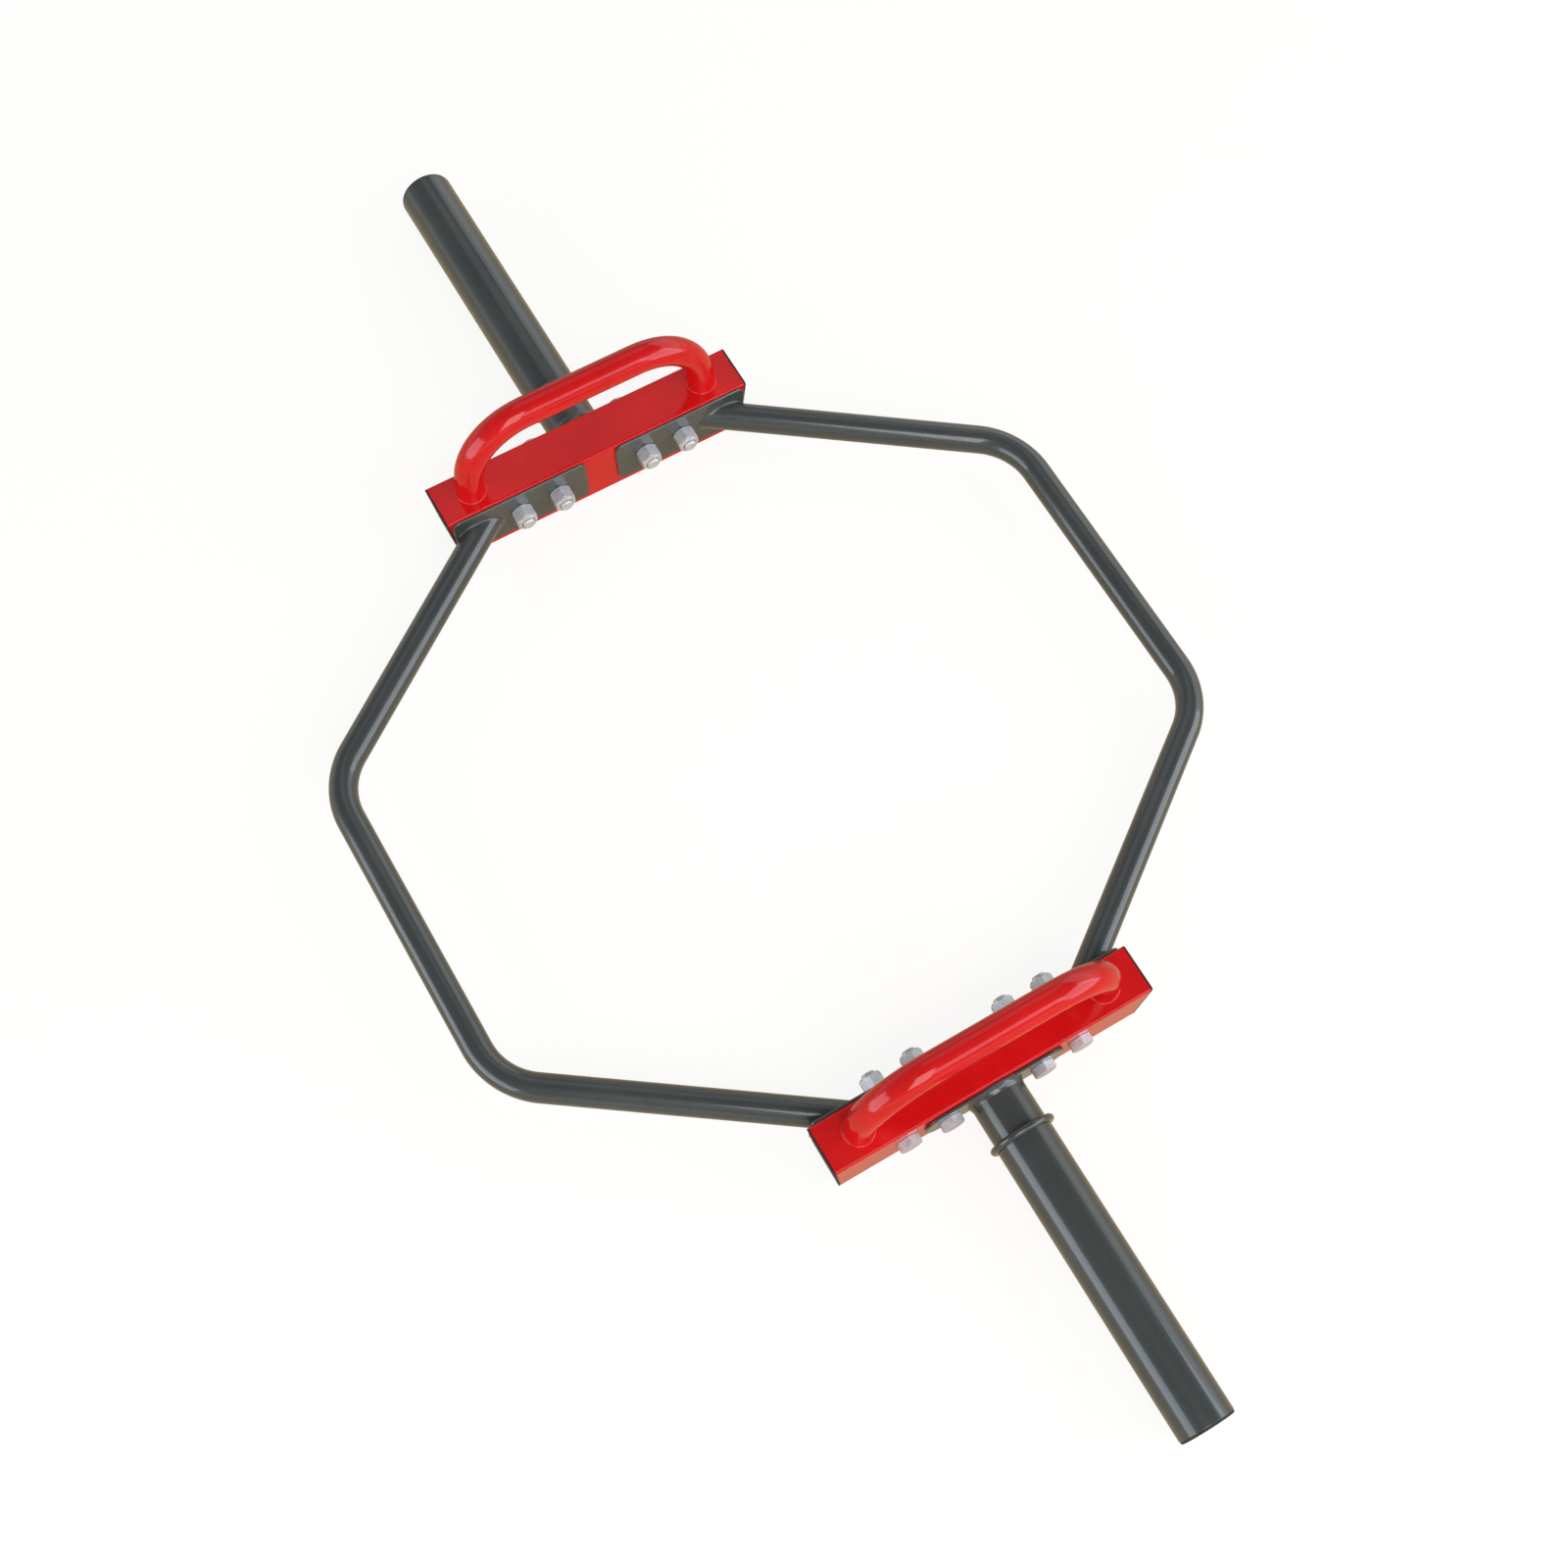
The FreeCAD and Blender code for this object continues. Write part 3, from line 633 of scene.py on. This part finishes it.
def dress_fasteners(side, sign):
    bolts = {"flange_bolts": (FLANGE_FACE, BOLT_PLACES[0]), "plate_bolts": (BEAM_OUTER, BOLT_PLACES[1])}
    for name, (seat, place) in bolts.items():
        form = Form()
        for _, facing in ENDS:
            add_bolt(form, sign, seat, facing * place)
        form.stand_for(f"{side}_{name}", FASTENER_CREASE)
    nuts = Form()
    inserts = Form()
    lip = 0.3
    for _, facing in ENDS:
        for place in BOLT_PLACES:
            add_nut(nuts, sign, facing * place)
            add_lathe(inserts, sign, [
                (NUT_END + INSERT_HEIGHT, INSERT_RADIUS),
                (NUT_END + lip, INSERT_RADIUS),
                (NUT_END, INSERT_RADIUS - lip),
                (NUT_END, THREAD_BORE + lip),
                (NUT_END + lip, THREAD_BORE),
                (NUT_END + INSERT_HEIGHT, THREAD_BORE),
            ], facing * place, FRAME_HEIGHT, wrap=True, steps=48)
    nuts.stand_for(f"{side}_lock_nuts", FASTENER_CREASE)
    inserts.stand_for(f"{side}_nut_inserts")


# Ring tubes and handles with their welds
def dress_ring(end, facing):
    line = bent_line([
        (PLATE_FACE, facing * RING_FOOT),
        (RING_CORNER, facing * RING_REACH),
        (-RING_CORNER, facing * RING_REACH),
        (-PLATE_FACE, facing * RING_FOOT),
    ], RING_BEND)
    tube = Form()
    add_tube(tube, line, TUBE_RADIUS, lambda x, y, up: (x, y, FRAME_HEIGHT + up), Vector((1, 0)))
    tube.stand_for(f"{end}_ring_tube")
    welds = Form()
    for _, sign in SIDES:
        foot = (sign * PLATE_FACE, facing * RING_FOOT, FRAME_HEIGHT)
        axis = (-sign * (PLATE_FACE - RING_CORNER), facing * (RING_REACH - RING_FOOT), 0.0)
        add_bead(welds, foot, axis, (-sign, 0, 0), TUBE_RADIUS, TUBE_WELD, TUBE_WELD,
                 hollow=0.18, ripples=34, ripple_depth=0.015)
    welds.stand_for(f"{end}_ring_welds", WELD_CREASE)


def dress_handle(side, sign):
    middle = sign * BEAM_MIDDLE
    line = bent_line([
        (LEG_FOOT, BEAM_HEIGHT),
        (LEG_CORNER, GRIP_LEVEL),
        (-LEG_CORNER, GRIP_LEVEL),
        (-LEG_FOOT, BEAM_HEIGHT),
    ], HANDLE_BEND)
    tube = Form()
    add_tube(tube, line, HANDLE_RADIUS, lambda y, z, out: (middle + out, y, z), Vector((0, 1)), steps=56)
    tube.stand_for(f"{side}_handle")
    welds = Form()
    for _, facing in ENDS:
        foot = (middle, facing * LEG_FOOT, BEAM_HEIGHT)
        axis = (0.0, facing * (LEG_CORNER - LEG_FOOT), GRIP_LEVEL - BEAM_HEIGHT)
        add_bead(welds, foot, axis, (0, 0, 1), HANDLE_RADIUS, HANDLE_WELD_LEG, HANDLE_WELD_HEIGHT,
                 hollow=0.2, ripples=30, ripple_depth=0.006)
    welds.stand_for(f"{side}_handle_welds", WELD_CREASE)


for side, sign in SIDES:
    dress_beam(side, sign)
    dress_handle(side, sign)
    dress_sleeve(side, sign)
    dress_fasteners(side, sign)
    for end, facing in ENDS:
        dress_plate(side, sign, end, facing)
for end, facing in ENDS:
    dress_ring(end, facing)


# Camera: fitted to the photograph, whose frame is 1600 pixels square
def add_camera():
    frame_pixels = 1600
    focal_pixels = 1933.3
    optical_centre = Vector((67.9, 107.9))
    sensor = 36.0
    beam_top = 0.060
    position = Vector((0.5852, -0.3431, 1.4775 + beam_top))
    target = Vector((0.1580, -0.0184, beam_top))
    roll = 1.008

    forward = (target - position).normalized()
    along = (Vector((1, 0, 0)) - forward * forward.x).normalized()
    down = forward.cross(along)
    right = along * math.cos(roll) - down * math.sin(roll)
    up = -(along * math.sin(roll) + down * math.cos(roll))
    data = bpy.data.cameras.new("camera")
    data.sensor_width = sensor
    data.lens = focal_pixels / frame_pixels * sensor
    data.shift_x = -optical_centre.x / frame_pixels
    data.shift_y = optical_centre.y / frame_pixels
    camera = bpy.data.objects.new("camera", data)
    turn = Matrix((right, up, -forward)).transposed().to_4x4()
    camera.matrix_world = Matrix.Translation(position) @ turn
    bpy.context.scene.collection.objects.link(camera)
    bpy.context.scene.camera = camera


# Studio: pale floor that is white to the camera, a soft sky that is dim overhead, and soft boxes
def add_floor():
    half = 30.0
    mesh = bpy.data.meshes.new("floor")
    corners = [(-half, -half, 0), (half, -half, 0), (half, half, 0), (-half, half, 0)]
    mesh.from_pydata(corners, [], [(0, 1, 2, 3)])
    floor = bpy.data.objects.new("floor", mesh)
    bpy.context.scene.collection.objects.link(floor)
    material = bpy.data.materials.new("floor")
    material.use_nodes = True
    tree = material.node_tree
    surface = tree.nodes["Principled BSDF"]
    surface.inputs["Base Color"].default_value = (0.86, 0.79, 0.68, 1.0)
    surface.inputs["Roughness"].default_value = 0.9
    surface.inputs["Specular IOR Level"].default_value = 0.1
    path = tree.nodes.new("ShaderNodeLightPath")
    shading = surface.outputs[0]
    white = (1.0, 1.0, 1.0, 1.0)
    warm = (1.0, 0.78, 0.48, 1.0)
    # Share, strength and colour of the plain light that each kind of ray sees beside the lit floor
    plain_light = [
        ("Is Camera Ray", 0.8, 1.1, white),
        ("Is Glossy Ray", 0.85, 0.53, warm),
        ("Is Transmission Ray", 0.85, 0.53, warm),
    ]
    for kind, share, strength, colour in plain_light:
        light = tree.nodes.new("ShaderNodeEmission")
        light.inputs["Color"].default_value = colour
        light.inputs["Strength"].default_value = strength
        amount = tree.nodes.new("ShaderNodeMath")
        amount.operation = "MULTIPLY"
        amount.inputs[1].default_value = share
        tree.links.new(path.outputs[kind], amount.inputs[0])
        mix = tree.nodes.new("ShaderNodeMixShader")
        tree.links.new(amount.outputs[0], mix.inputs["Fac"])
        tree.links.new(shading, mix.inputs[1])
        tree.links.new(light.outputs[0], mix.inputs[2])
        shading = mix.outputs[0]
    tree.links.new(shading, tree.nodes["Material Output"].inputs["Surface"])
    mesh.materials.append(material)


def add_sky():
    world = bpy.data.worlds.new("sky")
    bpy.context.scene.world = world
    world.use_nodes = True
    tree = world.node_tree
    coordinates = tree.nodes.new("ShaderNodeTexCoord")
    split = tree.nodes.new("ShaderNodeSeparateXYZ")
    tree.links.new(coordinates.outputs["Generated"], split.inputs[0])
    ramp = tree.nodes.new("ShaderNodeValToRGB")
    tree.links.new(split.outputs["Z"], ramp.inputs["Fac"])
    elements = ramp.color_ramp.elements
    tint = (0.94, 0.98, 1.0)
    levels = [(0.0, 0.90), (0.12, 0.75), (0.35, 0.36), (0.6, 0.22), (0.95, 0.15)]
    while len(elements) < len(levels):
        elements.new(0.5)
    for element, (height, level) in zip(elements, levels):
        element.position = height
        element.color = (*[level * part for part in tint], 1.0)
    tree.links.new(ramp.outputs["Color"], tree.nodes["Background"].inputs["Color"])


# A soft box is placed by its direction and its width and height as seen from the bar, all in degrees
def add_soft_box(name, azimuth, elevation, spread, radiance, tint):
    distance = 4.0
    size = [2 * distance * math.tan(math.radians(angle) / 2) for angle in spread]
    lean = math.radians(elevation)
    turn = math.radians(azimuth)
    level = math.cos(lean)
    position = distance * Vector((level * math.cos(turn), level * math.sin(turn), math.sin(lean)))
    data = bpy.data.lights.new(name, "AREA")
    data.shape = "RECTANGLE"
    data.size, data.size_y = size
    data.energy = radiance * math.pi * size[0] * size[1]
    data.color = tint
    lamp = bpy.data.objects.new(name, data)
    lamp.location = position
    lamp.rotation_euler = (-position).to_track_quat("-Z", "Y").to_euler()
    bpy.context.scene.collection.objects.link(lamp)


add_camera()
add_floor()
add_sky()
add_soft_box("rear_box", azimuth=-88, elevation=16, spread=(52, 30), radiance=2.4, tint=(0.80, 0.90, 1.0))
add_soft_box("front_box", azimuth=105, elevation=28, spread=(69, 28), radiance=0.8, tint=(0.90, 0.97, 1.0))
add_soft_box("corner_box", azimuth=50, elevation=24, spread=(50, 40), radiance=2.3, tint=(0.82, 0.91, 1.0))
add_soft_box("side_box", azimuth=18, elevation=42, spread=(19, 20), radiance=1.9, tint=(0.90, 0.95, 1.0))
add_soft_box("ceiling_box", azimuth=158, elevation=55, spread=(32, 28), radiance=0.34, tint=(1.0, 1.0, 1.0))
add_soft_box("key_box", azimuth=-14, elevation=48, spread=(26, 40), radiance=3.5, tint=(1.0, 0.98, 0.95))

bpy.context.scene.view_settings.view_transform = "Standard"
